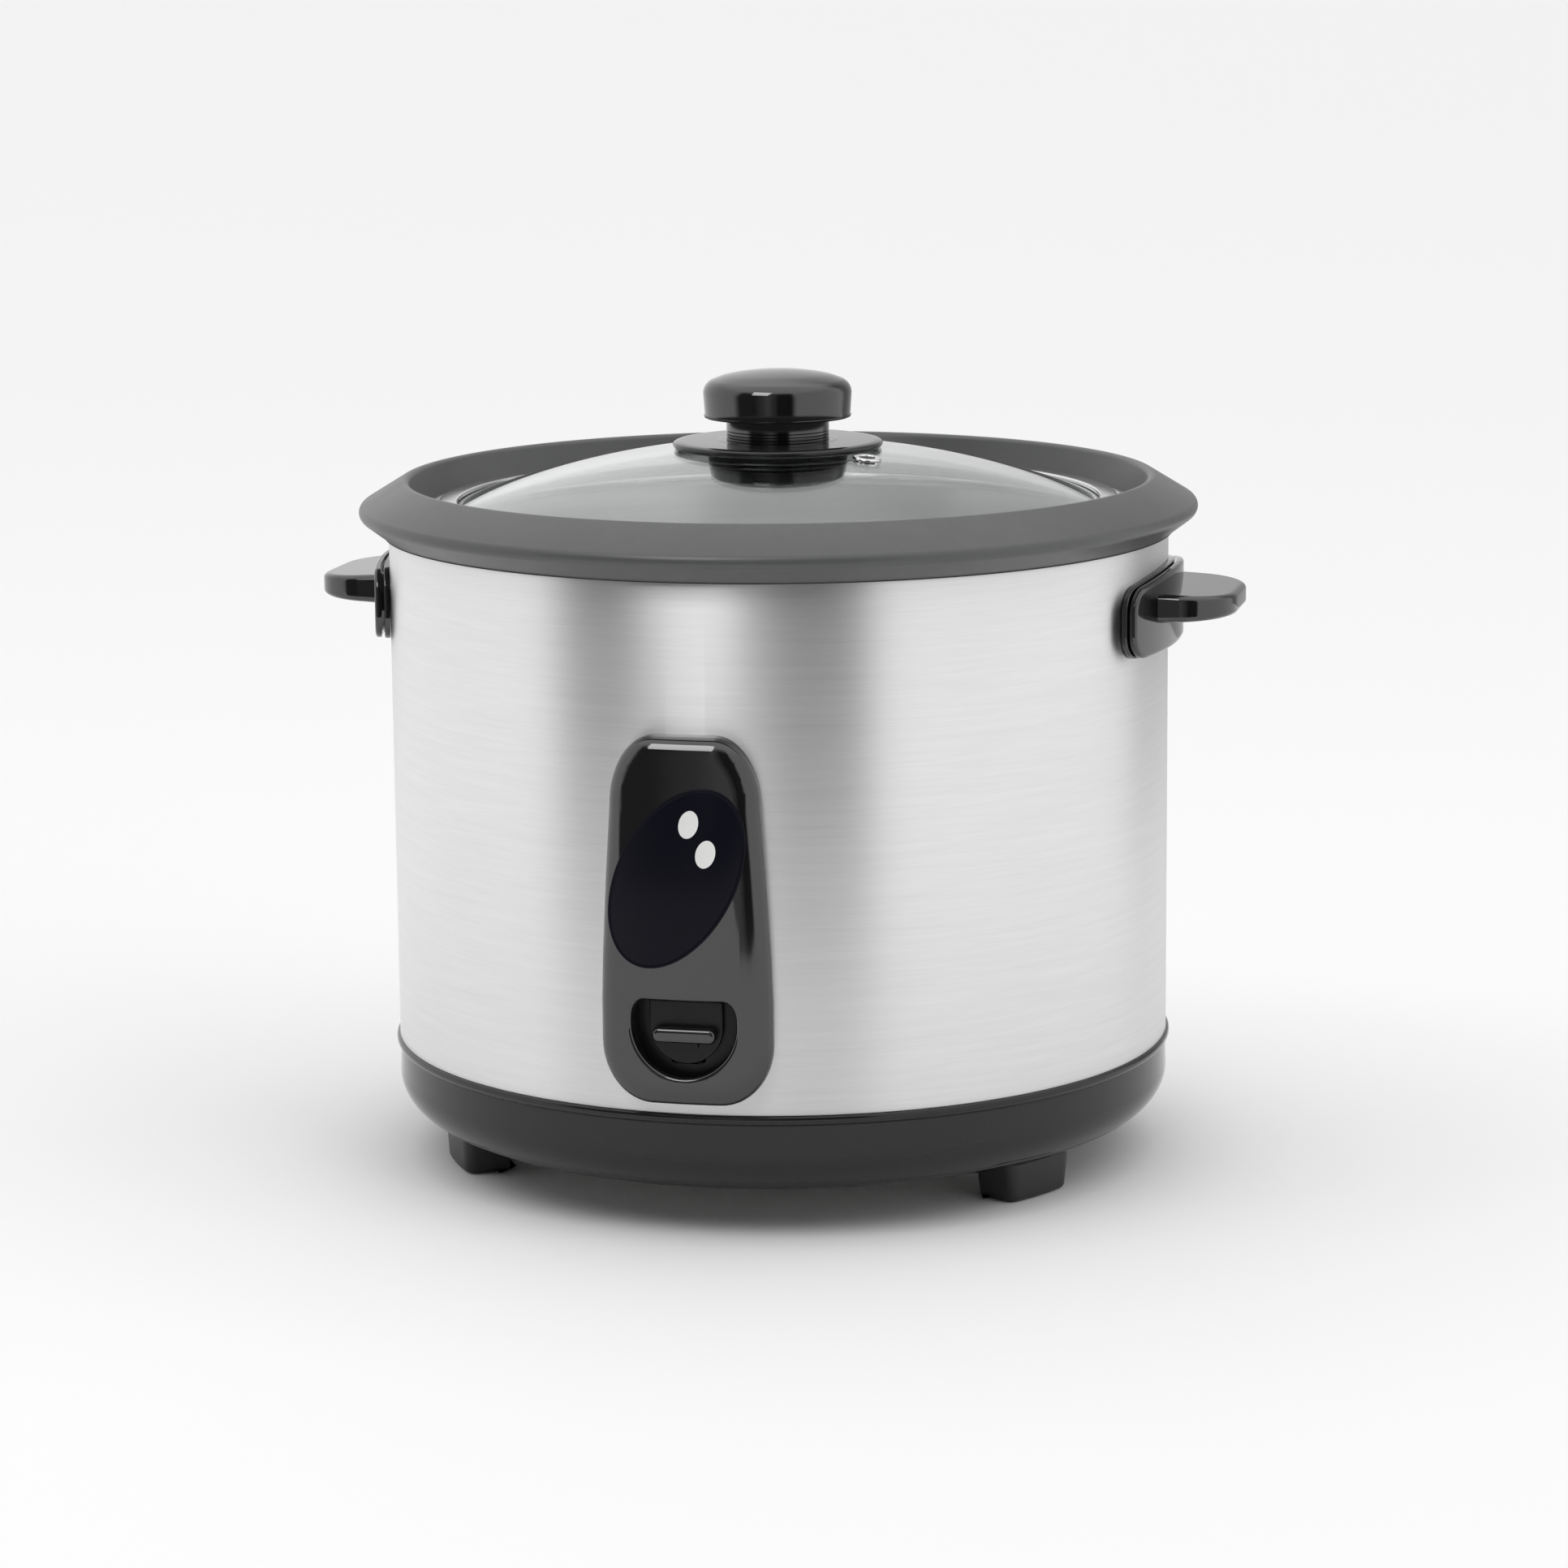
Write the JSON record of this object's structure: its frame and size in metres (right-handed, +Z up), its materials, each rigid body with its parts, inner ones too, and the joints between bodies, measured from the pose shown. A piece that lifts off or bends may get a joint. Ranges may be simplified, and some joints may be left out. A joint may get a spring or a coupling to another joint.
{
  "type": "rice cooker",
  "caption": "Drum rice cooker with a brushed steel body, dark plastic ring, base and side handles, a front cook lever panel, a lift-out pot and a glass lid with a knob.",
  "frame": {"origin": "on the surface it stands on, under the middle of the drum", "axes": "+Z up along the drum's axis, -Y out of the front with the lever panel, +X towards the right handle as seen from the front"},
  "size_m": [0.302, 0.2708, 0.2549],
  "materials": {
    "brushed_steel": "brushed around the body",
    "satin_grey": "satin",
    "gloss_grey": "gloss",
    "gloss_black": "gloss",
    "foot_plastic": "satin",
    "badge_navy": "gloss film",
    "lens_white": "translucent",
    "lamp_glass": "clear",
    "ceramic": "ceramic",
    "sheet_steel": "galvanised sheet",
    "fastener_steel": "zinc plated",
    "spring_steel": "spring wire",
    "bright_steel": "polished",
    "cast_aluminium": "machined casting",
    "pot_aluminium": "satin",
    "ferrite": "dark ferrite",
    "switch_black": "moulded",
    "plunger_red": "gloss",
    "fuse_white": "glass fibre sleeve",
    "pin_brass": "plated",
    "wire_sleeve": "silicone",
    "label_foil": "blank foil",
    "lid_glass": "tempered, clear"
  },
  "bodies": {
    "root": {"outer_shell": "brushed_steel", "top_ring": "satin_grey", "base_ring": "gloss_grey", "bottom_plate": "sheet_steel", "bottom_screws": "fastener_steel", "foot_front_left": "foot_plastic", "foot_front_right": "foot_plastic", "foot_rear": "foot_plastic", "rating_label": "label_foil", "control_panel": "gloss_black", "panel_badge": "badge_navy", "warm_lens": "lens_white", "cook_lens": "lens_white", "lamp_holder": "ceramic", "neon_lamps": "lamp_glass", "lever_pocket": "gloss_black", "panel_screws": "fastener_steel", "handle_left": "gloss_grey", "handle_right": "gloss_grey", "handle_screws": "fastener_steel", "inner_liner": "sheet_steel", "heating_plate": "cast_aluminium", "heating_element": "fastener_steel", "heater_posts": "ceramic", "heater_screws": "fastener_steel", "thermostat_bracket": "sheet_steel", "thermostat_sleeve": "cast_aluminium", "bracket_screws": "fastener_steel", "sensor_spring": "spring_steel", "magnet_spring": "spring_steel", "lever_bracket": "sheet_steel", "lever_pin": "fastener_steel", "micro_switch": "switch_black", "thermal_fuse": "fuse_white", "fuse_clamp": "sheet_steel", "terminal_block": "ceramic", "power_inlet": "switch_black", "inlet_pins": "pin_brass", "inlet_screws": "fastener_steel", "wiring": "wire_sleeve"},
    "pot": {"inner_pot": "pot_aluminium"},
    "lid": {"lid_glass": "lid_glass", "lid_rim": "bright_steel", "steam_vent": "bright_steel", "knob": "gloss_black", "knob_collar": "gloss_grey", "knob_retainer": "gloss_grey", "knob_screw": "fastener_steel"},
    "lever": {"cook_lever": "gloss_black", "lever_arm": "sheet_steel"},
    "magnet": {"magnet": "ferrite", "magnet_rod": "fastener_steel"},
    "plunger": {"switch_plunger": "plunger_red"},
    "sensor": {"sensor_cap": "pot_aluminium", "sensor_ferrite": "ferrite"}
  },
  "joints": [
    {"name": "pot_lift", "type": "slide", "parent": "root", "child": "pot", "axis": [0, 0, 1], "range_m": [0, 0.16]},
    {"name": "lid_lift", "type": "slide", "parent": "pot", "child": "lid", "axis": [0, 0, 1], "range_m": [0, 0.06]},
    {"name": "cook_lever", "type": "hinge", "parent": "root", "child": "lever", "pos_m": [0, -0.05, 0.052], "axis": [1, 0, 0], "range_deg": [0, 4.2], "stiffness_Nm_per_rad": 0.5, "springref_deg": -5.73},
    {"name": "magnet_slide", "type": "slide", "parent": "root", "child": "magnet", "axis": [0, 0, 1], "range_m": [0, 0.0038], "deforming": ["magnet_spring"]},
    {"name": "plunger_slide", "type": "slide", "parent": "root", "child": "plunger", "axis": [0, 0, -1], "range_m": [0, 0.0019]},
    {"name": "sensor_slide", "type": "slide", "parent": "root", "child": "sensor", "axis": [0, 0, 1], "range_m": [-0.003, 0], "stiffness_N_per_m": 400, "springref_m": 0.005, "deforming": ["sensor_spring"]}
  ],
  "couplings": [
    {"joint": "magnet_slide", "follows": "cook_lever", "m_per_rad": 0.05},
    {"joint": "plunger_slide", "follows": "cook_lever", "m_per_rad": 0.025}
  ]
}
